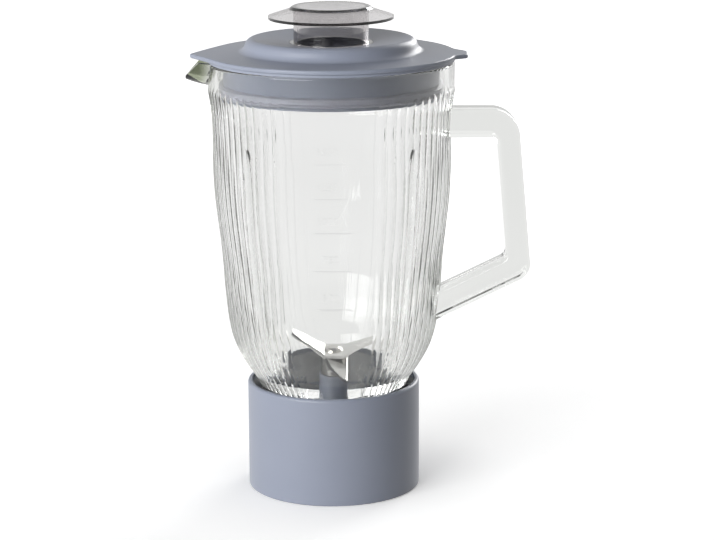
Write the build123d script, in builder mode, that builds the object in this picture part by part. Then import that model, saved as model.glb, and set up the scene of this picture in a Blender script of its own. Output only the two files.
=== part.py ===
"""Glass blender jar with lid, measuring cap, screw-on base collar and blade unit.

Millimetres. Z is the jar's axis, with the table at Z = 0 under the base collar.
The handle points to +X and the spout to -X. The plain panel with the scale faces -Y.
"""

import os
from math import cos, hypot, radians, sin

from build123d import *

os.makedirs("parts", exist_ok=True)

# Fits shared by several pieces, and how far a cut runs past what it cuts
running_gap = 0.04
press_gap = 0.02
slip_gap = 0.3
end_play = 0.2
cut_overrun = 1.0

# Base collar
collar_radius = 50.4
collar_wall = 2.5
collar_height = 63.5
collar_top_round = 1.8
collar_foot_round = 0.8
socket_depth = 33.0
socket_mouth = 9.0
socket_step = 1.0
ledge_thickness = 3.0
ledge_width = 12.0
drive_lug_count = 3
drive_lug_first_angle = 90.0
drive_lug_angle = 24.0
drive_lug_depth = 3.0
drive_lug_height = 5.0
drive_lug_drop = 4.0

# Blade holder that closes the bottom of the jar
holder_flange_thickness = 3.0
holder_plug_wall = 2.6
holder_floor_thickness = 3.0
holder_floor_sink = 5.0
boss_height = 12.2
boss_top_radius = 8.0
boss_foot_radius = 9.0
bearing_tube_wall = 3.4
bearing_tube_drop = 5.0
holder_rib_count = 6
holder_rib_thickness = 2.0
holder_rib_height = 10.0

# Gasket between blade holder and glass
gasket_thickness = 2.0
gasket_inset = 0.4

# Glass jar
jar_height = 252.2
jar_radius = 69.85
jar_wall = 4.2
rim_wall = 4.4
neck_room = 4.9
neck_wall = 5.0
neck_lug_count = 4
neck_lug_first_angle = 45.0
neck_lug_angle = 40.0
neck_lug_thickness = 3.5
neck_lug_drop = 9.5
neck_lug_tip_gap = 2.3
collar_lug_thickness = 4.0
collar_lug_gap = 1.0
heel_gap = 4.4
heel_sink = 1.5
band_height = 14.2
band_proud = 1.05
rim_round = 1.6

# Share of the body's height against share of its swell from heel to shoulder
body_curve = [
    (0.0, 0.0),
    (0.06, 0.224),
    (0.108, 0.41),
    (0.16, 0.554),
    (0.2145, 0.643),
    (0.36, 0.744),
    (0.6, 0.883),
    (0.8, 0.959),
    (1.0, 1.0),
]

# The same for the inside, which stays upright behind the thick heel before it swells
cavity_curve = [
    (0.0, 0.0),
    (0.039, 0.005),
    (0.048, 0.018),
    (0.06, 0.058),
    (0.096, 0.184),
    (0.12, 0.26),
    (0.145, 0.329),
    (0.177, 0.412),
    (0.2145, 0.492),
    (0.253, 0.553),
    (0.301, 0.615),
    (0.36, 0.669),
    (0.47, 0.759),
    (0.6, 0.846),
    (0.8, 0.944),
    (1.0, 1.0),
]

# Flutes pressed into the glass, in two rows between a front and a back panel
flutes_per_side = 27
panel_half_angle = 22.5
flute_depth = 0.7
flute_run_out = 10.0
flute_flare = 0.17
flute_flare_start = 2.0

# Four upright ribs inside the jar that break up the whirl
rib_count = 4
rib_first_angle = 45.0
rib_radius = 3.4
rib_top_drop = 36.2
rib_foot_rise = 11.0
rib_run_out = 11.0

# Pouring spout, as half ellipses hung from the rim
spout_reach = 83.6
spout_root_width = 24.0
spout_root_depth = 15.2
spout_tip_width = 4.6
spout_tip_depth = 10.8
spout_wall = 4.4
spout_lip_wall = 2.6
spout_lip_drop = 8.7
spout_lip_run = 8.3

# Shares of the way from the spout's root to its tip, where its middle section stands
spout_middle_share = 0.55
spout_belly_share = 0.33

# Handle pressed in one piece with the jar
handle_drop = 27.7
handle_reach_top = 107.0
handle_lean = 8.4
handle_low_corner = 125.3
handle_arm = 16.9
handle_low_arm = 10.5
handle_grip = 13.6
handle_arm_rise = 0.487
handle_depth = 20.0
handle_top_round = 17.0
handle_low_round = 10.0
handle_inner_round = 5.0
handle_root_round = 6.0
handle_root_sink = 0.6
handle_edge_round = 3.2

# Lid
lid_overhang = 1.1
lid_plate = 2.6
lid_slope = 0.06
lid_rest = 1.5
lid_dome_radius = 51.0
lid_dome_run = 3.2
lid_dome_height = 7.7
lid_dish_depth = 3.0
lid_dome_round = 4.5
lid_skirt_gap = 4.0
lid_skirt_wall = 3.0
lid_skirt_depth = 19.2
lid_guide_depth = 12.0
lid_guide_wall = 2.0
spout_tab_length = 9.0
spout_tab_round = 4.0
thumb_tab_length = 6.2
thumb_tab_width = 38.0
thumb_tab_tip = 14.0
thumb_tab_round = 5.0
thumb_tab_blend = 8.0
lid_edge_round = 0.9

# Seal ring in the lid's skirt
seal_groove_height = 5.4
seal_groove_depth = 1.5
seal_groove_lift = 1.4
seal_root = 0.8
seal_lip_tip = 0.65
seal_lip = 1.3
seal_lip_root = 1.8

# Measuring cap
cap_skirt_radius = 21.6
cap_wall = 1.9
cap_bead_width = 2.3
cap_bead_height = 1.4
cap_brim_radius = 36.0
cap_brim_thickness = 1.6
cap_brim_rise = 4.0
cap_brim_lift = 13.6
cap_crown_radius = 24.0
cap_crown_height = 7.2
cap_crown_bevel = 1.6
cap_crown_round = 1.2
cap_skirt_below = 16.0

# Shaft, bearings and seal
shaft_radius = 4.0
stem_radius = 3.2
stud_radius = 3.0
bush_wall = 2.0
upper_bush_length = 12.0
lower_bush_length = 10.0
felt_length = 6.0
felt_gap = 0.3
seal_height = 3.0
seal_land = 0.7
sleeve_radius = 7.5
sleeve_height = 5.0
rivet_radius = 5.4
rivet_height = 1.6
rivet_edge = 0.65
rivet_crown = 3.2
washer_thickness = 0.8
washer_radius = 6.6
clip_thickness = 0.8
clip_radius = 6.2
clip_groove_depth = 0.5
clip_mouth_angle = 70.0

# Blades, stamped from steel sheet and bent at the hub
blade_thickness = 1.5
blade_grind = 0.9
upper_blade_reach = 25.5
upper_root_width = 20.0
upper_tip_width = 9.0
upper_right_angle = 20.0
upper_left_angle = 30.0
lower_blade_reach = 23.2
lower_root_width = 13.0
lower_tip_width = 2.0
lower_bend_angle = -15.0
lower_turn_angle = -72.0

# Coupling under the shaft, driven by the motor unit
coupling_radius = 15.0
coupling_height = 8.5
coupling_round = 1.5
coupling_dog_count = 6
coupling_dog_angle = 26.0
coupling_dog_width = 5.0
coupling_dog_height = 7.0
coupling_shoulder_drop = 1.2
stud_washer_radius = 6.0
stud_washer_thickness = 1.0
nut_across_flats = 10.0
nut_height = 4.6
stud_end = 0.9

# Radii worked out from the sizes above
collar_bore = collar_radius - collar_wall
collar_middle = collar_bore + collar_wall / 2
neck_radius = collar_bore - neck_room
neck_bore = neck_radius - neck_wall
heel_radius = collar_bore - heel_gap
band_radius = jar_radius + band_proud
mouth_radius = band_radius - rim_wall
handle_reach_low = handle_reach_top + handle_lean
plug_radius = neck_bore - slip_gap
bush_radius = shaft_radius + running_gap + bush_wall
bearing_bore = bush_radius + press_gap
tube_radius = bearing_bore + bearing_tube_wall

# Heights worked out from the sizes above, from the table up
ledge_top = socket_depth + ledge_thickness
flange_top = ledge_top + holder_flange_thickness
glass_foot = flange_top + gasket_thickness
heel_z = collar_height - heel_sink
floor_z = heel_z - holder_floor_sink
boss_top = floor_z + boss_height
tube_foot = ledge_top - holder_flange_thickness - bearing_tube_drop
band_z = jar_height - band_height
body_top = band_z - flute_run_out
body_height = body_top - heel_z
sleeve_foot = boss_top + slip_gap
sleeve_top = sleeve_foot + sleeve_height
rivet_foot = sleeve_top + 2 * blade_thickness
washer_foot = tube_foot - end_play - washer_thickness
clip_foot = washer_foot - clip_thickness
shoulder_z = clip_foot - coupling_shoulder_drop
coupling_foot = shoulder_z - coupling_height
nut_top = coupling_foot - stud_washer_thickness
nut_foot = nut_top - nut_height
stud_foot = nut_foot - stud_end
lid_seat = jar_height + slip_gap
rim_middle = (band_radius + mouth_radius) / 2
plate_edge = spout_reach + cut_overrun


def polar(radius, angle):
    """Point on a circle about the axis, with the angle in degrees."""
    return (radius * cos(radians(angle)), radius * sin(radians(angle)))


def off_axis(edge):
    """Distance of an edge's middle from the jar's axis."""
    return hypot((edge @ 0.5).X, (edge @ 0.5).Y)


def ring_sectors(inner, outer, count, first, width):
    """Equal parts of a ring, spaced round the axis, each centred on its angle."""
    with BuildSketch() as sectors:
        for i in range(count):
            start = first + i * 360 / count - width / 2
            with BuildLine():
                outside = CenterArc((0, 0), outer, start, width)
                inside = CenterArc((0, 0), inner, start, width)
                Line(outside @ 0, inside @ 0)
                Line(outside @ 1, inside @ 1)
            make_face()
    return sectors.sketch


def half_section(points):
    """Closed outline of radius and height points, standing in the XZ plane."""
    with BuildSketch(Plane.XZ) as section:
        with BuildLine():
            Polyline(points, close=True)
        make_face()
    return section.sketch


def fluted_outline(radius, depth):
    """Jar's cross-section: a plain panel at front and back, and concave flutes between them."""
    pitch = (180 - 2 * panel_half_angle) / flutes_per_side
    for panel in (-90, 90):
        start = panel - panel_half_angle
        first_flute = panel + panel_half_angle
        ThreePointArc(polar(radius, start), polar(radius, panel), polar(radius, first_flute))
        for i in range(flutes_per_side):
            edge = first_flute + i * pitch
            valley = polar(radius - depth, edge + pitch / 2)
            ThreePointArc(polar(radius, edge), valley, polar(radius, edge + pitch))


def wall_radius(z):
    """Radius of the outside of the body at a height, between two points of its curve."""
    share = (z - heel_z) / body_height
    for (low, swell), (high, next_swell) in zip(body_curve, body_curve[1:]):
        if share <= high:
            return heel_radius + (jar_radius - heel_radius) * (
                swell + (next_swell - swell) * (share - low) / (high - low)
            )


def half_ellipse(distance, width, depth):
    """Half ellipse that hangs from the rim, square to the spout, on the spout's side."""
    place = Plane(origin=(-distance, 0, jar_height), x_dir=(0, 1, 0), z_dir=(-1, 0, 0))
    with BuildSketch(place) as section:
        with BuildLine():
            curve = EllipticalCenterArc((0, 0), width, depth, start_angle=0, arc_size=180)
            Line(curve @ 1, curve @ 0)
        make_face()
    return section.sketch


# Base collar: a moulded sleeve with a socket below and a screw ring above its ledge
with BuildPart() as collar:
    Cylinder(collar_radius, collar_height, align=(Align.CENTER, Align.CENTER, Align.MIN))
    fillet(collar.edges().group_by(Axis.Z)[-1], collar_top_round)
    fillet(collar.edges().group_by(Axis.Z)[0], collar_foot_round)
    Cylinder(
        collar_bore,
        collar_height,
        align=(Align.CENTER, Align.CENTER, Align.MIN),
        mode=Mode.SUBTRACT,
    )
    with BuildSketch(Plane.XY.offset(socket_mouth)):
        Circle(collar_middle)
        Circle(collar_bore - socket_step, mode=Mode.SUBTRACT)
    extrude(amount=socket_depth - socket_mouth)
    with BuildSketch(Plane.XY.offset(socket_depth)):
        Circle(collar_middle)
        Circle(collar_bore - ledge_width, mode=Mode.SUBTRACT)
    extrude(amount=ledge_thickness)
    with BuildSketch(Plane.XY.offset(heel_z - neck_lug_drop)):
        lug_inner = neck_radius + collar_lug_gap
        add(ring_sectors(lug_inner, collar_middle, neck_lug_count, neck_lug_first_angle, neck_lug_angle))
    extrude(amount=collar_lug_thickness)
    with BuildSketch(Plane.XY.offset(socket_depth - drive_lug_drop - drive_lug_height)):
        lug_inner = collar_bore - drive_lug_depth
        add(ring_sectors(lug_inner, collar_middle, drive_lug_count, drive_lug_first_angle, drive_lug_angle))
    extrude(amount=drive_lug_height)

# Blade holder: flange on the collar's ledge, plug in the jar's neck, floor with a boss
with BuildPart() as blade_holder:
    holder_section = half_section(
        [
            (bearing_bore, tube_foot),
            (tube_radius, tube_foot),
            (tube_radius, floor_z - holder_floor_thickness),
            (plug_radius - holder_plug_wall, floor_z - holder_floor_thickness),
            (plug_radius - holder_plug_wall, ledge_top),
            (collar_bore - slip_gap, ledge_top),
            (collar_bore - slip_gap, flange_top),
            (plug_radius, flange_top),
            (plug_radius, floor_z),
            (boss_foot_radius, floor_z),
            (boss_top_radius, boss_top),
            (bearing_bore + seal_land, boss_top),
            (bearing_bore + seal_land, boss_top - seal_height),
            (bearing_bore, boss_top - seal_height),
        ]
    )
    revolve(holder_section, axis=Axis.Z)
    rib_length = plug_radius - holder_plug_wall / 2 - tube_radius + bearing_tube_wall / 2
    with PolarLocations(0, holder_rib_count):
        with Locations((tube_radius - bearing_tube_wall / 2, 0, floor_z - holder_floor_thickness / 2)):
            Box(
                rib_length,
                holder_rib_thickness,
                holder_rib_height + holder_floor_thickness / 2,
                align=(Align.MIN, Align.CENTER, Align.MAX),
            )

# Gasket squeezed between the holder's flange and the foot of the glass
with BuildPart() as jar_gasket:
    with BuildSketch(Plane.XY.offset(flange_top)):
        Circle(neck_radius + gasket_inset)
        Circle(neck_bore + gasket_inset, mode=Mode.SUBTRACT)
    extrude(amount=gasket_thickness)

# Handle: a bar bent round the hand gap, with its two ends sunk into the jar's wall
with BuildPart() as jar_handle:
    top = jar_height - handle_drop
    low = jar_height - handle_low_corner
    sunk = neck_radius
    lean = handle_lean / (top - low)
    grip_top = handle_reach_top - handle_grip + lean * handle_arm
    inner_low = low + handle_low_arm
    grip_low = handle_reach_low - handle_grip - lean * (inner_low - low)
    root_top = wall_radius(top - handle_arm) - handle_root_sink
    root_low = wall_radius(inner_low - handle_arm_rise * (grip_low - jar_radius)) - handle_root_sink
    with BuildSketch(Plane.XZ) as handle_outline:
        with BuildLine():
            Polyline(
                [
                    (sunk, top),
                    (handle_reach_top, top),
                    (handle_reach_low, low),
                    (sunk, low - handle_arm_rise * (handle_reach_low - sunk)),
                ],
                close=True,
            )
        make_face()
        low_corner = handle_outline.vertices().sort_by_distance((handle_reach_low, low))[0]
        fillet(low_corner, handle_low_round)
        top_corner = handle_outline.vertices().sort_by_distance((handle_reach_top, top))[0]
        fillet(top_corner, handle_top_round)
        with BuildSketch(mode=Mode.PRIVATE) as hand_gap:
            with BuildLine():
                Polyline(
                    [
                        (root_top, top - handle_arm),
                        (grip_top, top - handle_arm),
                        (grip_low, inner_low),
                        (root_low, inner_low - handle_arm_rise * (grip_low - root_low)),
                    ],
                    close=True,
                )
            make_face()
            gap_corners = hand_gap.vertices().sort_by(Axis.X)
            fillet(gap_corners[-2:], handle_inner_round)
            fillet(gap_corners[:2], handle_root_round)
        add(hand_gap.sketch, mode=Mode.SUBTRACT)
    extrude(amount=handle_depth / 2, both=True)
    long_edges = jar_handle.edges().filter_by(Axis.Y, reverse=True)
    fillet(long_edges.filter_by(lambda edge: edge.center().X > sunk + cut_overrun), handle_edge_round)

# Spout: a beak that grows out of the rim and narrows to its lip
spout_root = mouth_radius - spout_wall
spout_middle = spout_root + (spout_reach - spout_root) * spout_middle_share
middle_width = spout_root_width + (spout_tip_width - spout_root_width) * spout_middle_share
middle_depth = spout_root_depth + (spout_tip_depth - spout_root_depth) * spout_belly_share
with BuildPart() as jar_spout:
    loft(
        [
            half_ellipse(spout_root, spout_root_width, spout_root_depth),
            half_ellipse(spout_middle, middle_width, middle_depth),
            half_ellipse(spout_reach, spout_tip_width, spout_tip_depth),
        ]
    )

# Channel that the drink runs along in the spout
with BuildPart() as spout_channel:
    loft(
        [
            half_ellipse(spout_root, spout_root_width - spout_wall, spout_root_depth - spout_wall),
            half_ellipse(spout_middle, middle_width - spout_wall, middle_depth - spout_wall),
            half_ellipse(spout_reach, spout_tip_width - spout_lip_wall, spout_tip_depth - spout_wall),
        ]
    )

# Space above the glass: the rim falls away with the lid's slope, and the lip slants down to its tip
with BuildPart() as above_rim:
    rim_slope_section = half_section(
        [
            (rim_middle, jar_height),
            (plate_edge, jar_height - (plate_edge - rim_middle) * lid_slope),
            (plate_edge, jar_height + spout_wall),
            (rim_middle, jar_height + spout_wall),
        ]
    )
    revolve(rim_slope_section, axis=Axis.Z)
    with BuildSketch(Plane.XZ):
        with BuildLine():
            Polyline(
                [
                    (spout_lip_run - spout_reach, jar_height),
                    (-spout_reach, jar_height - spout_lip_drop),
                    (-plate_edge, jar_height - spout_lip_drop),
                    (-plate_edge, jar_height),
                ],
                close=True,
            )
        make_face()
    extrude(amount=spout_root_width * 2, both=True)

# Inside of the jar, with the four ribs left standing in it
with BuildPart() as jar_cavity:
    inner_top = jar_radius - jar_wall
    cut_top = jar_height + cut_overrun
    cut_foot = glass_foot - cut_overrun
    wall_points = []
    for height_share, swell in cavity_curve:
        swollen = neck_bore + (inner_top - neck_bore) * swell
        wall_points.append((swollen, heel_z + body_height * height_share))
    with BuildSketch(Plane.XZ):
        with BuildLine():
            Polyline([(0, cut_top), (0, cut_foot), (neck_bore, cut_foot), wall_points[0]])
            inner_wall = Spline(wall_points)
            Line(inner_wall @ 1, (mouth_radius, jar_height - rim_round))
            JernArc((mouth_radius, jar_height - rim_round), (0, 1), rim_round, -90)
            Polyline(
                [
                    (mouth_radius + rim_round, jar_height),
                    (mouth_radius + rim_round, cut_top),
                    (0, cut_top),
                ]
            )
        make_face()
    revolve(axis=Axis.Z)
    rib_top = jar_height - rib_top_drop
    rib_foot = heel_z + rib_foot_rise
    above_foot = [point for point in wall_points if point[1] > rib_foot]
    foot_radius, foot_z = above_foot[0]
    rib_curve = [(foot_radius + rib_radius, foot_z)]
    for radius, z in above_foot:
        if foot_z + rib_run_out < z < rib_top - rib_run_out:
            rib_curve.append((radius, z))
    rib_curve.append((wall_radius(rib_top) + rib_radius, rib_top))
    for i in range(rib_count):
        upright = Plane.XZ.rotated((0, 0, rib_first_angle + i * 360 / rib_count))
        with BuildLine(upright):
            rib_path = Spline(rib_curve)
        with BuildSketch(Plane(origin=rib_path @ 0, z_dir=rib_path % 0)):
            Circle(rib_radius)
        sweep(path=rib_path, mode=Mode.SUBTRACT)

# Glass jar: fluted body, plain rim band, spout, handle and the neck with its screw lugs
with BuildPart() as glass_jar:
    for height_share, swell in body_curve:
        with BuildSketch(Plane.XY.offset(heel_z + body_height * height_share)):
            with BuildLine():
                section_radius = heel_radius + (jar_radius - heel_radius) * swell
                fluted_outline(section_radius, flute_depth * section_radius / jar_radius)
            make_face()
    for rise in (flute_run_out + flute_flare_start, flute_run_out + band_height):
        with BuildSketch(Plane.XY.offset(body_top + rise)):
            with BuildLine():
                fluted_outline(jar_radius + flute_flare * rise, flute_depth)
            make_face()
    loft()
    with BuildSketch(Plane.XZ):
        with BuildLine():
            rim_edge = (band_radius, jar_height - rim_round)
            Polyline([(0, jar_height), (0, heel_z), (band_radius, heel_z), rim_edge])
            JernArc(rim_edge, (0, 1), rim_round, 90)
            Line((band_radius - rim_round, jar_height), (0, jar_height))
        make_face()
    revolve(axis=Axis.Z, mode=Mode.INTERSECT)
    with Locations((0, 0, glass_foot)):
        Cylinder(neck_radius, heel_z - glass_foot, align=(Align.CENTER, Align.CENTER, Align.MIN))
    with BuildSketch(Plane.XY.offset(heel_z - neck_lug_drop - neck_lug_thickness)):
        lug_tip = collar_bore - neck_lug_tip_gap
        lug_root = neck_radius - neck_wall / 2
        add(ring_sectors(lug_root, lug_tip, neck_lug_count, neck_lug_first_angle, neck_lug_angle))
    extrude(amount=neck_lug_thickness)
    add(jar_handle.part)
    add(jar_spout.part)
    add(jar_cavity.part, mode=Mode.SUBTRACT)
    add(spout_channel.part, mode=Mode.SUBTRACT)
    add(above_rim.part, mode=Mode.SUBTRACT)


def lid_under(radius):
    """Height of the underside of the lid's sloping plate at a radius."""
    return lid_seat + lid_rest + (rim_middle - radius) * lid_slope


# Lid: a sloping plate with two tabs and a rest for the rim, a dished dome with the cap's hole, and a skirt
lid_radius = band_radius + lid_overhang
lid_hole = cap_skirt_radius + slip_gap
dome_top = lid_under(lid_dome_radius) + lid_plate + lid_dome_height
dish_z = dome_top - lid_dish_depth
shoulder_radius = lid_dome_radius - lid_dome_run
cap_seat_radius = cap_skirt_radius + cap_bead_width + slip_gap
cap_seat_z = dish_z - cap_bead_height
skirt_radius = mouth_radius - lid_skirt_gap
skirt_foot = jar_height - lid_skirt_depth
groove_foot = skirt_foot + seal_groove_lift
groove_radius = skirt_radius - seal_groove_depth
with BuildPart() as lid:
    with BuildSketch(Plane.XZ) as lid_section:
        dome_foot = (lid_dome_radius, lid_under(lid_dome_radius) + lid_plate)
        dome_shoulder = (shoulder_radius, dome_top)
        with BuildLine():
            Polyline(
                [
                    (plate_edge, lid_under(plate_edge) + lid_plate),
                    dome_foot,
                    dome_shoulder,
                    (cap_seat_radius, dish_z),
                    (cap_seat_radius, cap_seat_z),
                    (lid_hole, cap_seat_z),
                    (lid_hole, dish_z - lid_guide_depth),
                    (lid_hole + lid_guide_wall, dish_z - lid_guide_depth),
                    (lid_hole + lid_guide_wall, cap_seat_z - lid_plate),
                    (cap_seat_radius + lid_guide_wall, cap_seat_z - lid_plate),
                    (cap_seat_radius + lid_guide_wall, dish_z - lid_plate),
                    (shoulder_radius - lid_plate / 2, dome_top - lid_plate),
                    (lid_dome_radius - lid_plate, lid_under(lid_dome_radius)),
                    (plate_edge, lid_under(plate_edge)),
                ],
                close=True,
            )
        make_face()
        for corner in (dome_foot, dome_shoulder):
            fillet(lid_section.vertices().sort_by_distance(corner)[0], lid_dome_round)
        with BuildLine():
            Polyline(
                [
                    (band_radius, lid_under(band_radius) + lid_plate / 2),
                    (band_radius, lid_under(band_radius) - lid_rest),
                    (skirt_radius, lid_under(skirt_radius) - lid_rest),
                    (skirt_radius, lid_under(skirt_radius) + lid_plate / 2),
                ],
                close=True,
            )
        make_face()
        with BuildLine():
            Polyline(
                [
                    (skirt_radius, lid_under(skirt_radius) + lid_plate / 2),
                    (skirt_radius, groove_foot + seal_groove_height),
                    (groove_radius, groove_foot + seal_groove_height),
                    (groove_radius, groove_foot),
                    (skirt_radius, groove_foot),
                    (skirt_radius, skirt_foot),
                    (skirt_radius - lid_skirt_wall, skirt_foot),
                    (skirt_radius - lid_skirt_wall, lid_under(skirt_radius) + lid_plate / 2),
                ],
                close=True,
            )
        make_face()
    revolve(axis=Axis.Z)
    with BuildSketch(Plane.XY.offset(skirt_foot)) as lid_outline:
        Circle(lid_radius)
        with Locations((spout_tab_round - lid_radius - spout_tab_length, 0)):
            Circle(spout_tab_round)
        make_hull()
        with BuildLine():
            Polyline(
                [
                    (lid_radius - thumb_tab_length, -thumb_tab_width / 2),
                    (lid_radius + thumb_tab_length, -thumb_tab_tip / 2),
                    (lid_radius + thumb_tab_length, thumb_tab_tip / 2),
                    (lid_radius - thumb_tab_length, thumb_tab_width / 2),
                ],
                close=True,
            )
        make_face()
        fillet(lid_outline.vertices().group_by(Axis.X)[-2], thumb_tab_blend)
        fillet(lid_outline.vertices().group_by(Axis.X)[-1], thumb_tab_round)
    extrude(amount=lid_skirt_depth * 2, mode=Mode.INTERSECT)
    rim_edges = lid.edges().filter_by(lambda edge: off_axis(edge) > lid_radius - slip_gap)
    fillet(rim_edges.filter_by(Axis.Z, reverse=True), lid_edge_round)

# Seal ring: a soft band in the skirt's groove, with two lips that reach for the glass
with BuildPart() as lid_seal:
    seal_inner = groove_radius + press_gap
    seal_low = groove_foot + press_gap
    seal_high = groove_foot + seal_groove_height - press_gap
    seal_reach = mouth_radius - slip_gap - band_proud
    root_radius = skirt_radius + seal_root
    seal_section = half_section(
        [
            (seal_inner, seal_low),
            (root_radius, seal_low),
            (seal_reach, seal_low + seal_lip_tip),
            (seal_reach, seal_low + seal_lip),
            (root_radius, seal_low + seal_lip_root),
            (root_radius, seal_high - seal_lip_root),
            (seal_reach, seal_high - seal_lip),
            (seal_reach, seal_high - seal_lip_tip),
            (root_radius, seal_high),
            (seal_inner, seal_high),
        ]
    )
    revolve(seal_section, axis=Axis.Z)

# Measuring cap: a clear cup turned over, with a flaring brim to lift it by and a bead that rests in the lid
with BuildPart() as measuring_cap:
    brim_z = dish_z + cap_brim_lift
    crown_z = brim_z + cap_crown_height
    cap_foot = dish_z - cap_skirt_below
    cap_inside = cap_skirt_radius - cap_wall
    brim_slope = cap_brim_rise / (cap_brim_radius - cap_crown_radius)
    brim_root = brim_z + brim_slope * (cap_brim_radius - cap_skirt_radius)
    crown_edge = (cap_crown_radius - cap_crown_bevel, crown_z)
    with BuildSketch(Plane.XZ) as cap_section:
        with BuildLine():
            Polyline(
                [
                    (0, crown_z),
                    crown_edge,
                    (cap_crown_radius, brim_z + cap_brim_rise + cap_brim_thickness),
                    (cap_brim_radius, brim_z + cap_brim_thickness),
                    (cap_brim_radius, brim_z),
                    (cap_skirt_radius, brim_root),
                    (cap_skirt_radius, dish_z),
                    (cap_skirt_radius + cap_bead_width, dish_z),
                    (cap_skirt_radius + cap_bead_width, cap_seat_z),
                    (cap_skirt_radius, cap_seat_z),
                    (cap_skirt_radius, cap_foot),
                    (cap_inside, cap_foot),
                    (cap_inside, crown_z - cap_wall),
                    (0, crown_z - cap_wall),
                ],
                close=True,
            )
        make_face()
        fillet(cap_section.vertices().sort_by_distance(crown_edge)[0], cap_crown_round)
    revolve(axis=Axis.Z)

# Drive shaft: bearing length, stem for the blades with a riveted head, and a threaded stud below
with BuildPart() as drive_shaft:
    shaft_section = half_section(
        [
            (0, stud_foot),
            (stud_radius, stud_foot),
            (stud_radius, shoulder_z),
            (shaft_radius, shoulder_z),
            (shaft_radius, clip_foot),
            (shaft_radius - clip_groove_depth, clip_foot),
            (shaft_radius - clip_groove_depth, washer_foot),
            (shaft_radius, washer_foot),
            (shaft_radius, sleeve_top),
            (stem_radius, sleeve_top),
            (stem_radius, rivet_foot),
            (rivet_radius, rivet_foot),
            (rivet_radius, rivet_foot + rivet_edge),
            (rivet_crown, rivet_foot + rivet_height),
            (0, rivet_foot + rivet_height),
        ]
    )
    revolve(shaft_section, axis=Axis.Z)

# Sintered bushes pressed into the holder, with an oil felt between them
with BuildPart() as upper_bush:
    with BuildSketch(Plane.XY.offset(boss_top - seal_height - upper_bush_length)):
        Circle(bush_radius)
        Circle(shaft_radius + running_gap, mode=Mode.SUBTRACT)
    extrude(amount=upper_bush_length)

with BuildPart() as lower_bush:
    with BuildSketch(Plane.XY.offset(tube_foot)):
        Circle(bush_radius)
        Circle(shaft_radius + running_gap, mode=Mode.SUBTRACT)
    extrude(amount=lower_bush_length)

with BuildPart() as oil_felt:
    with BuildSketch(Plane.XY.offset(boss_top - seal_height - upper_bush_length - felt_length)):
        Circle(bush_radius)
        Circle(shaft_radius + felt_gap, mode=Mode.SUBTRACT)
    extrude(amount=felt_length)

# Lip seal that keeps the drink out of the bearings
with BuildPart() as shaft_seal:
    with BuildSketch(Plane.XY.offset(boss_top - seal_height)):
        Circle(bearing_bore + seal_land - press_gap)
        Circle(shaft_radius + running_gap, mode=Mode.SUBTRACT)
    extrude(amount=seal_height)

# Steel sleeve under the blades, which turns with the shaft
with BuildPart() as blade_sleeve:
    with BuildSketch(Plane.XY.offset(sleeve_foot)):
        Circle(sleeve_radius)
        Circle(shaft_radius + press_gap, mode=Mode.SUBTRACT)
    extrude(amount=sleeve_height)


def blade_arm(length, root_width, tip_width, sheet):
    """One tapered blade arm along +X from the bend to the tip, with its leading edge ground off above."""
    with BuildPart() as arm:
        with BuildSketch():
            with BuildLine():
                Polyline(
                    [
                        (0, -root_width / 2),
                        (0, root_width / 2),
                        (length, tip_width / 2),
                        (length, -tip_width / 2),
                    ],
                    close=True,
                )
            make_face()
        extrude(amount=sheet)
        leading_edge = (length / 2, (root_width + tip_width) / 4, max(sheet, 0))
        chamfer(arm.edges().sort_by_distance(leading_edge)[0], blade_grind)
    return arm.part


def two_armed_blade(foot_z, bend_radius, reach, root_width, tip_width, arm_turns_and_bends):
    """Blade stamped from sheet: a flat hub with a hole, and two arms, each bent up or down by its angle."""
    with BuildPart() as piece:
        with BuildSketch(Plane.XY.offset(foot_z)):
            Rectangle(2 * bend_radius, root_width, rotation=arm_turns_and_bends[0][0])
        extrude(amount=blade_thickness)
        for turn, bend in arm_turns_and_bends:
            arm_length = (reach - bend_radius) / cos(radians(bend))
            root = (*polar(bend_radius, turn), foot_z if bend > 0 else foot_z + blade_thickness)
            along_arm = (*polar(cos(radians(bend)), turn), sin(radians(bend)))
            off_face = (*polar(-sin(radians(bend)), turn), cos(radians(bend)))
            into_sheet = blade_thickness if bend > 0 else -blade_thickness
            with Locations(Plane(origin=root, x_dir=along_arm, z_dir=off_face)):
                add(blade_arm(arm_length, root_width, tip_width, into_sheet))
        with Locations((0, 0, foot_z)):
            Cylinder(stem_radius + press_gap, blade_thickness * 4, mode=Mode.SUBTRACT)
    return piece


# Lower blade with both arms bent down past the sleeve
lower_blade = two_armed_blade(
    sleeve_top,
    sleeve_radius + blade_thickness / 2,
    lower_blade_reach,
    lower_root_width,
    lower_tip_width,
    ((lower_turn_angle, lower_bend_angle), (lower_turn_angle + 180, lower_bend_angle)),
)

# Upper blade, wider, with its arms bent up by different angles past the rivet
upper_blade = two_armed_blade(
    sleeve_top + blade_thickness,
    rivet_radius + slip_gap,
    upper_blade_reach,
    upper_root_width,
    upper_tip_width,
    ((0, upper_right_angle), (180, upper_left_angle)),
)

# Washer and spring clip that keep the shaft from lifting out of its bearings
with BuildPart() as thrust_washer:
    with BuildSketch(Plane.XY.offset(washer_foot)):
        Circle(washer_radius)
        Circle(shaft_radius + press_gap, mode=Mode.SUBTRACT)
    extrude(amount=washer_thickness)

with BuildPart() as shaft_clip:
    with BuildSketch(Plane.XY.offset(clip_foot)):
        add(
            ring_sectors(
                shaft_radius - clip_groove_depth + press_gap,
                clip_radius,
                1,
                90,
                360 - clip_mouth_angle,
            )
        )
    extrude(amount=clip_thickness)

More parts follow.
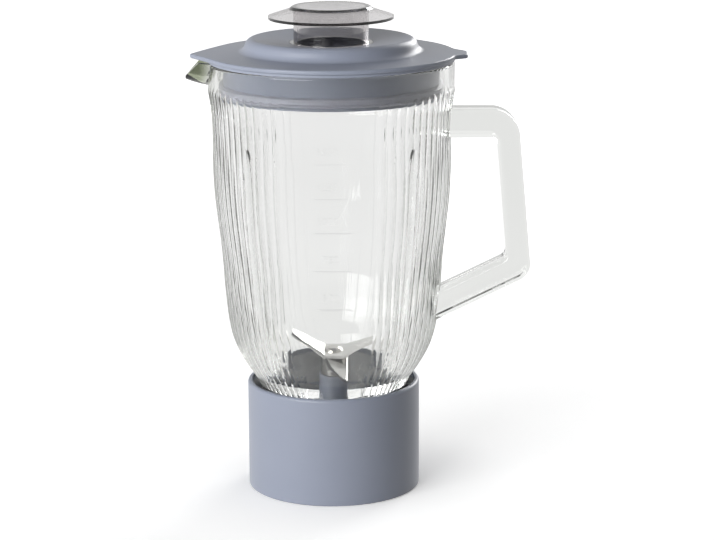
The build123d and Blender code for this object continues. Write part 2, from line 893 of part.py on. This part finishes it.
# Drive coupling: a disc with six dogs below it that the motor's driver pushes round
with BuildPart() as drive_coupling:
    with BuildSketch(Plane.XY.offset(coupling_foot)):
        Circle(coupling_radius)
        Circle(stud_radius + press_gap, mode=Mode.SUBTRACT)
    extrude(amount=coupling_height)
    fillet(drive_coupling.edges().group_by(Axis.Z)[-1].sort_by(SortBy.RADIUS)[-1], coupling_round)
    with BuildSketch(Plane.XY.offset(coupling_foot)):
        add(
            ring_sectors(
                coupling_radius - coupling_dog_width,
                coupling_radius,
                coupling_dog_count,
                0,
                coupling_dog_angle,
            )
        )
    extrude(amount=-coupling_dog_height)

# Washer and nut that hold the coupling on the shaft's stud
with BuildPart() as coupling_washer:
    with BuildSketch(Plane.XY.offset(nut_top)):
        Circle(stud_washer_radius)
        Circle(stud_radius + press_gap, mode=Mode.SUBTRACT)
    extrude(amount=stud_washer_thickness)

with BuildPart() as coupling_nut:
    with BuildSketch(Plane.XY.offset(nut_foot)):
        RegularPolygon(nut_across_flats / 2, 6, major_radius=False)
        Circle(stud_radius + press_gap, mode=Mode.SUBTRACT)
    extrude(amount=nut_height)

for name, piece in (
    ("collar", collar),
    ("blade_holder", blade_holder),
    ("jar_gasket", jar_gasket),
    ("glass_jar", glass_jar),
    ("lid", lid),
    ("lid_seal", lid_seal),
    ("measuring_cap", measuring_cap),
    ("drive_shaft", drive_shaft),
    ("upper_bush", upper_bush),
    ("lower_bush", lower_bush),
    ("oil_felt", oil_felt),
    ("shaft_seal", shaft_seal),
    ("blade_sleeve", blade_sleeve),
    ("lower_blade", lower_blade),
    ("upper_blade", upper_blade),
    ("thrust_washer", thrust_washer),
    ("shaft_clip", shaft_clip),
    ("drive_coupling", drive_coupling),
    ("coupling_washer", coupling_washer),
    ("coupling_nut", coupling_nut),
):
    piece.part.label = name
    export_step(piece.part, f"parts/{name}.step")
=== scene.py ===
"""Glass blender jar with its lid, measuring cap, base collar and blade unit.

Metres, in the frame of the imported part: Z up along the jar's axis, handle to +X, spout to -X.
"""

from math import radians

import bpy
from mathutils import Matrix, Vector


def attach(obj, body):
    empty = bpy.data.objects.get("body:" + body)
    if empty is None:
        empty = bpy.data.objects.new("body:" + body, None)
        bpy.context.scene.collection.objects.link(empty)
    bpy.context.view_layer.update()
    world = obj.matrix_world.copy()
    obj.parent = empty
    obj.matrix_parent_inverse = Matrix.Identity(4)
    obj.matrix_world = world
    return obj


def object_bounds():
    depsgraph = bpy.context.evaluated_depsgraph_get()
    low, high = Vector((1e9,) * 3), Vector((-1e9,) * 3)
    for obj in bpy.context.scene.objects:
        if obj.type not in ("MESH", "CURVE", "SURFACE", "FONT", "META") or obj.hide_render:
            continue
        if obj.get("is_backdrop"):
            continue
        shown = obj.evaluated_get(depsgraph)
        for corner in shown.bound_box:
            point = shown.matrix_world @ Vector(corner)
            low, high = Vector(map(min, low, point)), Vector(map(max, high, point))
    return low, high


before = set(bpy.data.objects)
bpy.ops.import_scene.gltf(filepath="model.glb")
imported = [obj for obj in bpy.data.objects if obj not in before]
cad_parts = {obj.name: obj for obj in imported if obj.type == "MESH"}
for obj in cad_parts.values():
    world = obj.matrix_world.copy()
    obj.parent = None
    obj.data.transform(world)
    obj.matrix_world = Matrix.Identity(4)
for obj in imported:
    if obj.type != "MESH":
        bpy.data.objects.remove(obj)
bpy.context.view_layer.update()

# Base collar and blade holder: the jar's foot, and the plug with the boss that carries the blades.
# Blue-grey polypropylene, injection-moulded in a spark-eroded mould, so satin with a grain, drawn coarser
# than the real one. The collar's inner wall is painted pale in streaks: painted light for the light falling
# on it through the glass heel.
millimetre = 0.001
plastic_colours = ("8E95A6", "979DAD")
plastic_roughness = (0.32, 0.42)
flow_cloud = 32 * millimetre
mould_grain = 0.7 * millimetre
mould_grain_depth = 0.03 * millimetre
# Painted light on the collar's inner wall: pale streaks where light through the glass heel falls.
painted_light_colours = ("CFD0D1", "FFFFFF")
painted_light_wall_radius = 47.9 * millimetre
painted_light_wall_reach = 0.2 * millimetre
painted_light_middle = 49 * millimetre
painted_light_half, painted_light_core = 12.5 * millimetre, 10 * millimetre
painted_light_streak = 10 * millimetre
painted_light_streaks_up_wall = 5.0


def linear(hex_colour):
    """Linear RGBA of an sRGB colour written as six hex digits."""
    channels = []
    for i in (0, 2, 4):
        value = int(hex_colour[i:i + 2], 16) / 255
        channels.append(value / 12.92 if value <= 0.04045 else ((value + 0.055) / 1.055) ** 2.4)
    return (*channels, 1.0)


def add_node(tree, kind, *feeds, **named):
    """Adds a node. Feeds fill its inputs in order, capital names fill inputs, other names are settings."""
    node = tree.nodes.new(kind)
    sockets = list(zip(node.inputs, feeds))
    for name, value in named.items():
        if name[0].isupper():
            sockets.append((node.inputs[name.replace("_", " ")], value))
        else:
            setattr(node, name, value)
    for socket, value in sockets:
        if isinstance(value, bpy.types.NodeSocket):
            tree.links.new(value, socket)
        else:
            socket.default_value = value
    return node


def start_material(name, **values):
    """New material with its node tree, its Principled shader set to the values, and Object coordinates."""
    material = bpy.data.materials.new(name)
    material.use_nodes = True
    tree = material.node_tree
    shader = tree.nodes["Principled BSDF"]
    for socket, value in values.items():
        shader.inputs[socket.replace("_", " ")].default_value = value
    place = add_node(tree, "ShaderNodeTexCoord").outputs["Object"]
    return material, tree, shader, place


def finish(tree, shader, pattern, colours=None, roughness=None, depth=None, strength=1.0):
    """Lets a pattern vary a shader between two colours and two roughnesses, and raise a relief of a depth."""
    if colours:
        shade = add_node(tree, "ShaderNodeMixRGB", pattern, linear(colours[0]), linear(colours[1]))
        tree.links.new(shade.outputs["Color"], shader.inputs["Base Color"])
    if roughness:
        level = add_node(tree, "ShaderNodeMapRange", pattern, To_Min=roughness[0], To_Max=roughness[1])
        tree.links.new(level.outputs["Result"], shader.inputs["Roughness"])
    if depth:
        relief = add_node(tree, "ShaderNodeBump", Height=pattern, Distance=depth, Strength=strength)
        tree.links.new(relief.outputs["Normal"], shader.inputs["Normal"])


def dress(material, *names):
    """Gives CAD nodes their material."""
    for name in names:
        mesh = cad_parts[name].data
        mesh.materials.clear()
        mesh.materials.append(material)


plastic, tree, shader, place = start_material(
    "blue-grey moulded polypropylene", IOR=1.49, Specular_IOR_Level=0.65
)
clouds = add_node(tree, "ShaderNodeTexNoise", Vector=place, Scale=1 / flow_cloud, Detail=3.0).outputs["Fac"]
# Painted light: pale streaks are mixed into the colour on a band of the collar's inner wall, standing for the
# light that falls on it through the glass heel.
stretched = add_node(tree, "ShaderNodeMapping", place, Scale=(1.0, 1.0, painted_light_streaks_up_wall)).outputs["Vector"]
streaks = add_node(
    tree, "ShaderNodeTexNoise", Vector=stretched, Scale=1 / painted_light_streak, Detail=3.0, Distortion=0.6
).outputs["Fac"]
flat = add_node(tree, "ShaderNodeVectorMath", place, (1.0, 1.0, 0.0), operation="MULTIPLY").outputs["Vector"]
radius = add_node(tree, "ShaderNodeVectorMath", flat, operation="LENGTH").outputs["Value"]
at_wall = add_node(
    tree, "ShaderNodeMath", radius, painted_light_wall_radius, painted_light_wall_reach, operation="COMPARE"
).outputs["Value"]
height = add_node(tree, "ShaderNodeSeparateXYZ", place).outputs["Z"]
above = add_node(tree, "ShaderNodeMath", height, painted_light_middle, operation="SUBTRACT").outputs["Value"]
off_middle = add_node(tree, "ShaderNodeMath", above, operation="ABSOLUTE").outputs["Value"]
fade = add_node(
    tree, "ShaderNodeMapRange", off_middle, painted_light_core, painted_light_half, 1.0, 0.0
).outputs["Result"]
painted_light_on_wall = add_node(tree, "ShaderNodeMath", at_wall, fade, operation="MULTIPLY").outputs["Value"]
shades = []
for pattern, (low, high) in ((clouds, plastic_colours), (streaks, painted_light_colours)):
    shades.append(add_node(tree, "ShaderNodeMixRGB", pattern, linear(low), linear(high)).outputs["Color"])
skin = add_node(tree, "ShaderNodeMixRGB", painted_light_on_wall, *shades)
tree.links.new(skin.outputs["Color"], shader.inputs["Base Color"])
grains = add_node(tree, "ShaderNodeTexNoise", Vector=place, Scale=1 / mould_grain, Detail=2.0).outputs["Fac"]
finish(tree, shader, grains, roughness=plastic_roughness, depth=mould_grain_depth, strength=0.3)
dress(plastic, "collar", "blade_holder")

# Gasket, shaft seal and lid seal: rings that are squeezed between the parts they close.
# The gasket and the shaft seal are black nitrile rubber, pressed in moulds and matt, with a grain drawn
# coarser than the real one; the lid seal is pale grey silicone with a faint bloom.
rubber_colours = ("1D1D1E", "2A2A2B")
rubber_roughness = (0.6, 0.75)
rubber_grain = 0.5 * millimetre
rubber_grain_depth = 0.03 * millimetre
rubber, tree, shader, place = start_material("black pressed nitrile rubber", IOR=1.52)
grains = add_node(tree, "ShaderNodeTexNoise", Vector=place, Scale=1 / rubber_grain, Detail=3.0).outputs["Fac"]
finish(tree, shader, grains, rubber_colours, rubber_roughness, rubber_grain_depth, strength=0.5)
dress(rubber, "jar_gasket", "shaft_seal")

silicone_colours = ("B6B8C4", "C2C4CE")
silicone_roughness = (0.32, 0.42)
bloom = 6 * millimetre
bloom_depth = 0.03 * millimetre
silicone, tree, shader, place = start_material("grey moulded silicone", IOR=1.41)
blooms = add_node(tree, "ShaderNodeTexNoise", Vector=place, Scale=1 / bloom, Detail=3.0).outputs["Fac"]
finish(tree, shader, blooms, silicone_colours, silicone_roughness, bloom_depth, strength=0.1)
dress(silicone, "lid_seal")

# Bushes and oil felt: two bearings pressed into the holder's tube, with a wick of felt between them.
# The bushes are bronze powder, pressed and sintered, so dull with small pores; the felt is pressed wool,
# tan with oil. Pores and fibres are drawn coarser than the real ones.
bronze_colours = ("6E5434", "B08A58")
bronze_roughness = (0.62, 0.42)
pore = 0.35 * millimetre
pore_depth = 0.035 * millimetre
bronze, tree, shader, place = start_material("sintered bronze", Metallic=1.0)
pores = add_node(tree, "ShaderNodeTexVoronoi", Vector=place, Scale=1 / pore).outputs["Distance"]
finish(tree, shader, pores, bronze_colours, bronze_roughness, pore_depth, strength=0.5)
dress(bronze, "upper_bush", "lower_bush")

felt_colours = ("8A7A5C", "B3A27F")
fibre = 0.25 * millimetre
fibres_up_ring = 6.0
felt, tree, shader, place = start_material("oiled wool felt", Roughness=0.95, Sheen_Weight=0.3)
lay = add_node(tree, "ShaderNodeMapping", place, Scale=(1.0, 1.0, fibres_up_ring)).outputs["Vector"]
fibres = add_node(tree, "ShaderNodeTexNoise", Vector=lay, Scale=1 / fibre, Detail=4.0).outputs["Fac"]
finish(tree, shader, fibres, felt_colours, depth=fibre, strength=0.6)
dress(felt, "oil_felt")

# Shaft, sleeve, washers, clip and nut: the turning steel, held together by the nut under the coupling.
# Stainless bar, turned on a lathe, so fine rings run round it.
turned_colours = ("D2D0CC", "E8E6E2")
turned_roughness = (0.18, 0.3)
tool_mark = 0.5 * millimetre
tool_mark_depth = 0.02 * millimetre
rings_per_mark = 6.0
turned_steel, tree, shader, place = start_material("turned stainless steel", Metallic=1.0)
round_axis = add_node(tree, "ShaderNodeMapping", place, Scale=(1.0, 1.0, rings_per_mark)).outputs["Vector"]
rings = add_node(
    tree, "ShaderNodeTexNoise", Vector=round_axis, Scale=1 / tool_mark, Detail=3.0
).outputs["Fac"]
finish(tree, shader, rings, turned_colours, turned_roughness, tool_mark_depth, strength=0.4)
dress(turned_steel, "drive_shaft", "blade_sleeve", "thrust_washer", "shaft_clip")
dress(turned_steel, "coupling_washer", "coupling_nut")

# Blades: two pairs of arms, stacked on the shaft, bent up and down and ground along their cutting edges.
# Stainless sheet, stamped, ground and tumbled, so satin with short scratches that run every way.
blade_colours = ("E2E1DE", "F0EFED")
blade_roughness = (0.16, 0.28)
scratch = 0.8 * millimetre
scratch_depth = 0.02 * millimetre
tumbled_steel, tree, shader, place = start_material("tumbled stainless sheet", Metallic=1.0)
scratches = add_node(
    tree, "ShaderNodeTexNoise", Vector=place, Scale=1 / scratch, Detail=5.0, Distortion=1.5
).outputs["Fac"]
finish(tree, shader, scratches, blade_colours, blade_roughness, scratch_depth, strength=0.3)
dress(tumbled_steel, "lower_blade", "upper_blade")

# Coupling: the toothed foot of the shaft, which the motor's drive turns.
# Nylon filled with glass fibre, moulded black, with a streaky skin where the fibres lie.
nylon_colours = ("232426", "35363A")
nylon_roughness = (0.4, 0.58)
fibre_streak = 2.5 * millimetre
fibre_streak_depth = 0.04 * millimetre
nylon, tree, shader, place = start_material("black glass-filled nylon", IOR=1.53)
streaks = add_node(
    tree, "ShaderNodeTexNoise", Vector=place, Scale=1 / fibre_streak, Detail=4.0, Distortion=0.8
).outputs["Fac"]
finish(tree, shader, streaks, nylon_colours, nylon_roughness, fibre_streak_depth, strength=0.3)
dress(nylon, "drive_coupling")

# Glass jar: pressed in one piece with its flutes, handle and spout, and screwed into the collar.
# Clear soda-lime glass, fire-polished, so smooth with a slight wave, grey-green where it is thick, and tinted
# olive at the spout, partly the colour of the thick lip and partly painted shade for its reflections. The
# heel, which the collar hides, keeps the ripples of the mould.
glass_tint = (0.853, 0.862, 0.842, 1.0)
glass_tint_density = 48.0
# Towards the spout the glass is tinted olive: partly the thick lip's colour, partly painted shade for its
# reflections.
spout_tint_and_shade_colours = ("FFFFFF", "989F85")
spout_root, spout_end = -66 * millimetre, -75 * millimetre
glass_wave = 14 * millimetre
glass_wave_depth = 0.004 * millimetre
heel_ripple = 9 * millimetre
heel_ripple_depth = 0.6 * millimetre
ripples_up_heel = 3.5
ripples_end, ripples_gone = 56 * millimetre, 63 * millimetre
glass, tree, shader, place = start_material(
    "pressed soda-lime glass", Roughness=0.0, IOR=1.5, Transmission_Weight=1.0
)
along = add_node(tree, "ShaderNodeSeparateXYZ", place).outputs
# Olive tint by place along X: partly the thick lip's colour, partly painted shade.
spout_tint_and_shade = add_node(tree, "ShaderNodeMapRange", along["X"], spout_root, spout_end).outputs["Result"]
finish(tree, shader, spout_tint_and_shade, spout_tint_and_shade_colours)
waves = add_node(tree, "ShaderNodeTexNoise", Vector=place, Scale=1 / glass_wave, Detail=1.0).outputs["Fac"]
wave_height = add_node(tree, "ShaderNodeMath", waves, glass_wave_depth, operation="MULTIPLY").outputs["Value"]
round_heel = add_node(tree, "ShaderNodeMapping", place, Scale=(1.0, 1.0, ripples_up_heel)).outputs["Vector"]
ripples = add_node(
    tree, "ShaderNodeTexNoise", Vector=round_heel, Scale=1 / heel_ripple, Detail=2.0
).outputs["Fac"]
heel = add_node(
    tree, "ShaderNodeMapRange", along["Z"], ripples_end, ripples_gone, heel_ripple_depth, 0.0
).outputs["Result"]
glass_skin = add_node(
    tree, "ShaderNodeMath", ripples, heel, wave_height, operation="MULTIPLY_ADD"
).outputs["Value"]
finish(tree, shader, glass_skin, depth=1.0)
tint = add_node(tree, "ShaderNodeVolumeAbsorption", Color=glass_tint, Density=glass_tint_density)
tree.links.new(tint.outputs["Volume"], tree.nodes["Material Output"].inputs["Volume"])
dress(glass, "glass_jar")

# Scale: lines and plain numbers of millilitres, raised on the front panel by the press.
# They are the jar's own glass, with soft edges, and lie on the curved wall.
mark_heights = {500: 119.7, 750: 142.1, 1000: 164.4, 1250: 184.0, 1500: 203.6}
line_start, line_end = -8.9 * millimetre, 11.6 * millimetre
line_thickness = 0.7 * millimetre
line_steps = 20
digit_end = 4.8 * millimetre
digit_size = 6.4 * millimetre
digit_lift = 4.8 * millimetre
mark_proud = 0.15 * millimetre
mark_sunk = 0.15 * millimetre
mark_edge = 0.1 * millimetre
mark_edge_steps = 2
mark_smooth_angle = radians(50)
before_panel = -90 * millimetre
upright = (radians(90), 0.0, 0.0)
marks = []
for volume, height in mark_heights.items():
    bpy.ops.object.select_all(action="DESELECT")
    bpy.ops.object.text_add(
        location=(digit_end, before_panel, height * millimetre + digit_lift), rotation=upright
    )
    digits = bpy.context.object
    digits.data.body = str(volume)
    digits.data.size = digit_size
    digits.data.align_x = "RIGHT"
    bpy.ops.object.convert(target="MESH")
    marks.append(bpy.context.object)
    bpy.ops.object.select_all(action="DESELECT")
    bpy.ops.mesh.primitive_grid_add(
        x_subdivisions=line_steps, y_subdivisions=1, size=1.0,
        location=((line_start + line_end) / 2, before_panel, height * millimetre), rotation=upright,
    )
    line = bpy.context.object
    line.scale = (line_end - line_start, line_thickness, 1.0)
    marks.append(line)
bpy.ops.object.select_all(action="DESELECT")
for mark in marks:
    mark.select_set(True)
scale_marks = marks[0]
bpy.context.view_layer.objects.active = scale_marks
bpy.ops.object.transform_apply(location=True, rotation=True, scale=True)
bpy.ops.object.join()
scale_marks.name = "scale_marks"
drape = scale_marks.modifiers.new("on the panel", "SHRINKWRAP")
drape.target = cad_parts["glass_jar"]
drape.wrap_method = "PROJECT"
drape.use_project_y = True
drape.use_positive_direction = True
drape.use_negative_direction = False
raised = scale_marks.modifiers.new("raised", "SOLIDIFY")
raised.thickness = mark_proud + mark_sunk
raised.offset = (mark_proud - mark_sunk) / (mark_proud + mark_sunk)
soft = scale_marks.modifiers.new("soft edges", "BEVEL")
soft.width = mark_edge
soft.segments = mark_edge_steps
for modifier in list(scale_marks.modifiers):
    bpy.ops.object.modifier_apply(modifier=modifier.name)
bpy.ops.object.shade_smooth_by_angle(angle=mark_smooth_angle)
scale_marks.data.materials.clear()
scale_marks.data.materials.append(glass)
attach(scale_marks, "jar")

# Lid: pushed into the rim on its seal, and lifted by the thumb tab.
# The same blue-grey polypropylene as the collar.
dress(plastic, "lid")

# Measuring cap: a clear cup, turned over and stood in the lid's hole.
# Smoke-tinted styrene, moulded and polished, so its edges are darker than its faces.
smoke_tint = (0.42, 0.38, 0.39, 1.0)
smoke_tint_density = 240.0
flow_line = 9 * millimetre
flow_line_depth = 1 * millimetre
smoke, tree, shader, place = start_material(
    "smoke-tinted styrene", Base_Color=linear("FFFFFF"), Roughness=0.03, IOR=1.57, Transmission_Weight=1.0
)
flow = add_node(tree, "ShaderNodeTexNoise", Vector=place, Scale=1 / flow_line, Detail=1.0).outputs["Fac"]
finish(tree, shader, flow, depth=flow_line_depth, strength=0.02)
tint = add_node(tree, "ShaderNodeVolumeAbsorption", Color=smoke_tint, Density=smoke_tint_density)
tree.links.new(tint.outputs["Volume"], tree.nodes["Material Output"].inputs["Volume"])
dress(smoke, "measuring_cap")

# Floor: a sheet of white paper, which takes the jar's soft shadow, with a painted contact shadow near the
# jar.
# It is whiter the further it lies from the front softbox, so it looks white all over, as a paper sweep does,
# and mirrored it is dim in front, where the sweep ends.
floor_size = 8.0
paper_white = (0.92, 0.92, 0.92, 1.0)
paper_bounce = (0.45, 0.45, 0.45, 1.0)
softbox_foot = (-0.6, -0.8, 0.0)
whiteness_reach = 4.0
whiteness_stops = ((0.125, 0.43), (0.25, 0.59), (0.375, 0.73), (0.59, 0.82), (0.775, 1.0))
contact_shadow = 70 * millimetre
white_behind, white_beside = 0.92, 1.0
behind_half, beside_from = 0.25, 0.9
dim_front = 0.5
dim_front_end, dim_front_start = -0.9, -0.25
bpy.ops.object.select_all(action="DESELECT")
bpy.ops.mesh.primitive_plane_add(size=floor_size)
floor = bpy.context.object
floor.name = "floor"
paper, tree, shader, place = start_material("white paper")
tree.nodes.remove(shader)
ray = add_node(tree, "ShaderNodeLightPath").outputs


def find_sight(tree, ray):
    """One for a ray that carries a sight to the camera, straight, mirrored or through glass, not light."""
    sight = ray["Is Camera Ray"]
    for way in ("Is Glossy Ray", "Is Transmission Ray"):
        sight = add_node(tree, "ShaderNodeMath", sight, ray[way], operation="MAXIMUM").outputs["Value"]
    bounces = ray["Diffuse Depth"]
    no_light = add_node(tree, "ShaderNodeMath", bounces, 0.5, operation="LESS_THAN").outputs["Value"]
    return add_node(tree, "ShaderNodeMath", sight, no_light, operation="MULTIPLY").outputs["Value"]


from_foot = add_node(tree, "ShaderNodeVectorMath", place, softbox_foot, operation="DISTANCE").outputs["Value"]
share = add_node(tree, "ShaderNodeMath", from_foot, whiteness_reach, operation="DIVIDE").outputs["Value"]
ramp = add_node(tree, "ShaderNodeValToRGB", share)
stops = ramp.color_ramp.elements
while len(stops) < len(whiteness_stops):
    stops.new(1.0)
for stop, (distance, grey) in zip(stops, whiteness_stops):
    stop.position = distance
    stop.color = (grey, grey, grey, 1.0)
# Painted shadow: ambient occlusion darkens the paper's glow close to the jar, a contact shadow not cast by
# the lamps.
painted_contact_shadow = add_node(tree, "ShaderNodeAmbientOcclusion", Distance=contact_shadow).outputs["AO"]
whiteness = ramp.outputs["Color"]
level = add_node(tree, "ShaderNodeMath", whiteness, painted_contact_shadow, operation="MULTIPLY").outputs["Value"]
glow = add_node(tree, "ShaderNodeEmission", Strength=level).outputs["Emission"]
shade = add_node(tree, "ShaderNodeBsdfDiffuse", paper_white).outputs["BSDF"]
near_paper = add_node(tree, "ShaderNodeAddShader", shade, glow).outputs["Shader"]
along = add_node(tree, "ShaderNodeSeparateXYZ", place).outputs
front = add_node(
    tree, "ShaderNodeMapRange", along["Y"], dim_front_end, dim_front_start, dim_front, 1.0
).outputs["Result"]
aside = add_node(tree, "ShaderNodeMath", along["X"], operation="ABSOLUTE").outputs["Value"]
beside = add_node(
    tree, "ShaderNodeMapRange", aside, behind_half, beside_from, white_behind, white_beside
).outputs["Result"]
mirror = add_node(tree, "ShaderNodeMath", ray["Glossy Depth"], 0.5, operation="GREATER_THAN").outputs["Value"]
level = add_node(tree, "ShaderNodeMix", Factor=mirror, A=beside, B=front).outputs["Result"]
far_paper = add_node(tree, "ShaderNodeEmission", Strength=level).outputs["Emission"]
seen = add_node(tree, "ShaderNodeMixShader", ray["Is Camera Ray"], far_paper, near_paper).outputs["Shader"]
lit = add_node(tree, "ShaderNodeBsdfDiffuse", paper_bounce).outputs["BSDF"]
surface = add_node(tree, "ShaderNodeMixShader", find_sight(tree, ray), lit, seen).outputs["Shader"]
tree.links.new(surface, tree.nodes["Material Output"].inputs["Surface"])
floor.data.materials.append(paper)
floor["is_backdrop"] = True

# Studio light: a large softbox on the left in front, and another, further off, on the right behind.
# Each is given by its place, its width and height, and its power in watts.
softboxes = {
    "front_softbox": ((-0.763, -1.013, 0.58), (0.95, 0.75), 11.5),
    "back_softbox": ((0.8, 1.5, 0.75), (0.8, 0.8), 14.0),
}
softbox_aim = Vector((0.0, 0.0, 0.12))
for name, (spot, size, power) in softboxes.items():
    bpy.ops.object.select_all(action="DESELECT")
    bpy.ops.object.light_add(type="AREA", location=spot)
    softbox = bpy.context.object
    softbox.name = name
    softbox.rotation_euler = (softbox_aim - Vector(spot)).to_track_quat("-Z", "Y").to_euler()
    softbox.data.shape = "RECTANGLE"
    softbox.data.size, softbox.data.size_y = size
    softbox.data.energy = power
    softbox.visible_camera = False

# Surroundings: white to the eye and through glass, and in mirrors dim above, in front and on the left.
# Their light comes mostly from the left in front, low down, as from a large window.
# Each edge is where a side begins and where it is full, along one axis of the ray's direction.
dim_ceiling, dim_left = 0.8, 0.7
ceiling_edge, front_edge, left_edge = (0.3, 0.7), (-0.1, -0.8), (0.5, -0.5)
wall_light = 0.12
window_light = 3.3
window_left_edge, window_back_edge, window_top_edge = (-0.1, -0.3), (0.3, -0.1), (0.5, 0.3)
world = bpy.data.worlds.new("white studio")
bpy.context.scene.world = world
world.use_nodes = True
tree = world.node_tree
background = tree.nodes["Background"]
ray = add_node(tree, "ShaderNodeLightPath").outputs
way = add_node(tree, "ShaderNodeTexCoord").outputs["Generated"]
along = add_node(tree, "ShaderNodeSeparateXYZ", way).outputs
room = 1.0
for axis, edge, dim in (
    ("Z", ceiling_edge, dim_ceiling), ("Y", front_edge, dim_front), ("X", left_edge, dim_left),
):
    side = add_node(tree, "ShaderNodeMapRange", along[axis], *edge, 1.0, dim).outputs["Result"]
    room = add_node(tree, "ShaderNodeMath", room, side, operation="MULTIPLY").outputs["Value"]
window = add_node(
    tree, "ShaderNodeMapRange", along["X"], *window_left_edge, 0.0, window_light
).outputs["Result"]
front = add_node(tree, "ShaderNodeMapRange", along["Y"], *window_back_edge, 0.0, 1.0).outputs["Result"]
low_sky = add_node(tree, "ShaderNodeMapRange", along["Z"], *window_top_edge, 0.0, 1.0).outputs["Result"]
window = add_node(tree, "ShaderNodeMath", window, front, operation="MULTIPLY").outputs["Value"]
light = add_node(tree, "ShaderNodeMath", window, wall_light, operation="MAXIMUM").outputs["Value"]
light = add_node(tree, "ShaderNodeMath", light, low_sky, operation="MULTIPLY").outputs["Value"]
mirror = add_node(tree, "ShaderNodeMath", ray["Glossy Depth"], 0.5, operation="GREATER_THAN").outputs["Value"]
shown = add_node(tree, "ShaderNodeMix", Factor=mirror, A=1.0, B=room).outputs["Result"]
level = add_node(tree, "ShaderNodeMix", Factor=find_sight(tree, ray), A=light, B=shown).outputs["Result"]
tree.links.new(level, background.inputs["Strength"])
background.inputs["Color"].default_value = (1.0, 1.0, 1.0, 1.0)

# Camera at the photograph's place, with a long lens.
# Its pitch is downwards, its yaw to the right and its roll to the left, in degrees.
camera_place = (27.2 * millimetre, -1422.9 * millimetre, 461.9 * millimetre)
camera_pitch, camera_yaw, camera_roll = 13.196, -0.503, -0.283
lens_length, sensor_width = 125.8, 36.0
furthest_seen = 20.0
bpy.ops.object.camera_add()
camera = bpy.context.object
camera.data.lens = lens_length
camera.data.sensor_width = sensor_width
camera.data.clip_end = furthest_seen
turn = Matrix.Rotation(radians(-camera_yaw), 4, "Z") @ Matrix.Rotation(radians(90 - camera_pitch), 4, "X")
camera.matrix_world = Matrix.Translation(camera_place) @ turn @ Matrix.Rotation(radians(camera_roll), 4, "Z")
bpy.context.scene.camera = camera
bpy.context.scene.view_settings.view_transform = "Standard"

low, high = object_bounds()
